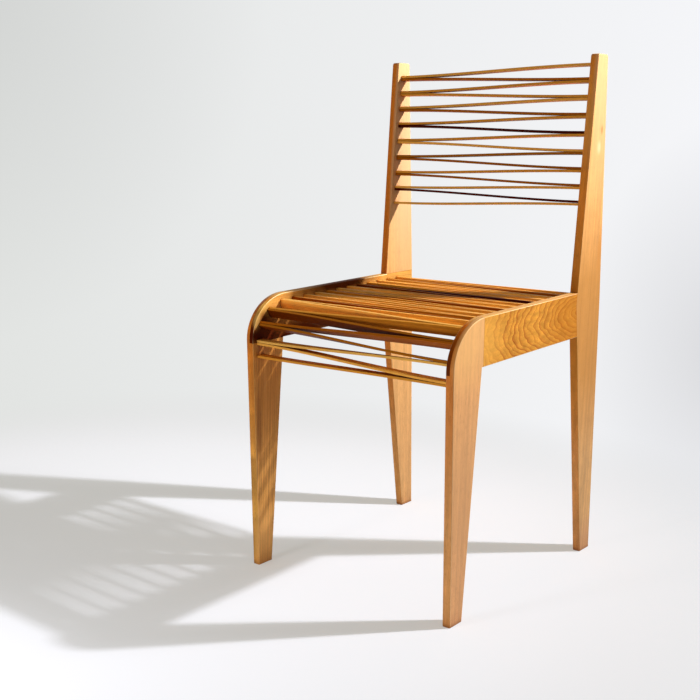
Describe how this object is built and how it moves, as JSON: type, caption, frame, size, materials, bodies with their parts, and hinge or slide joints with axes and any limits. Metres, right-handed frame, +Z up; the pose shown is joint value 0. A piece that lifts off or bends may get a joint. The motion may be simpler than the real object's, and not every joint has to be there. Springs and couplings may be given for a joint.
{
  "type": "side chair",
  "caption": "Armless wooden side chair: two flat board side frames with rounded front knees, joined by thin zigzag laths that form the seat and the back.",
  "frame": {"origin": "on the floor, under the middle of the chair's bounding box", "axes": "+Z up, -Y the way the sitter faces, +X to the right of someone who stands in front of the chair"},
  "size_m": [0.4, 0.4421, 0.83],
  "materials": {
    "leg_wood": "oiled, satin",
    "rail_wood": "oiled, satin",
    "post_wood": "oiled, satin",
    "golden_lath_wood": "oiled, satin",
    "brown_lath_wood": "oiled, satin",
    "dark_lath_wood": "oiled, satin"
  },
  "bodies": {
    "root": {"front_leg_left": "leg_wood", "seat_rail_left": "rail_wood", "back_post_left": "post_wood", "front_leg_right": "leg_wood", "seat_rail_right": "rail_wood", "back_post_right": "post_wood", "seat_lath_01": "golden_lath_wood", "seat_lath_02": "golden_lath_wood", "seat_lath_03": "golden_lath_wood", "seat_lath_04": "golden_lath_wood", "seat_lath_05": "golden_lath_wood", "seat_lath_06": "brown_lath_wood", "seat_lath_07": "brown_lath_wood", "seat_lath_08": "golden_lath_wood", "seat_lath_09": "golden_lath_wood", "seat_lath_10": "dark_lath_wood", "seat_lath_11": "golden_lath_wood", "seat_lath_12": "golden_lath_wood", "seat_lath_13": "golden_lath_wood", "seat_lath_14": "golden_lath_wood", "seat_lath_15": "golden_lath_wood", "seat_lath_16": "brown_lath_wood", "seat_lath_17": "golden_lath_wood", "seat_lath_18": "golden_lath_wood", "seat_lath_19": "golden_lath_wood", "seat_lath_20": "golden_lath_wood", "seat_lath_21": "golden_lath_wood", "seat_lath_22": "golden_lath_wood", "seat_lath_23": "golden_lath_wood", "seat_lath_24": "dark_lath_wood", "seat_lath_25": "dark_lath_wood", "seat_lath_26": "golden_lath_wood", "seat_lath_27": "golden_lath_wood", "seat_lath_28": "golden_lath_wood", "seat_lath_29": "golden_lath_wood", "seat_lath_30": "golden_lath_wood", "seat_lath_31": "golden_lath_wood", "back_lath_01": "golden_lath_wood", "back_lath_02": "dark_lath_wood", "back_lath_03": "golden_lath_wood", "back_lath_04": "golden_lath_wood", "back_lath_05": "golden_lath_wood", "back_lath_06": "golden_lath_wood", "back_lath_07": "golden_lath_wood", "back_lath_08": "golden_lath_wood", "back_lath_09": "golden_lath_wood", "back_lath_10": "dark_lath_wood", "back_lath_11": "golden_lath_wood", "back_lath_12": "golden_lath_wood", "back_lath_13": "golden_lath_wood", "back_lath_14": "golden_lath_wood", "back_lath_15": "golden_lath_wood", "back_lath_16": "golden_lath_wood", "back_lath_17": "golden_lath_wood"}
  },
  "joints": []
}
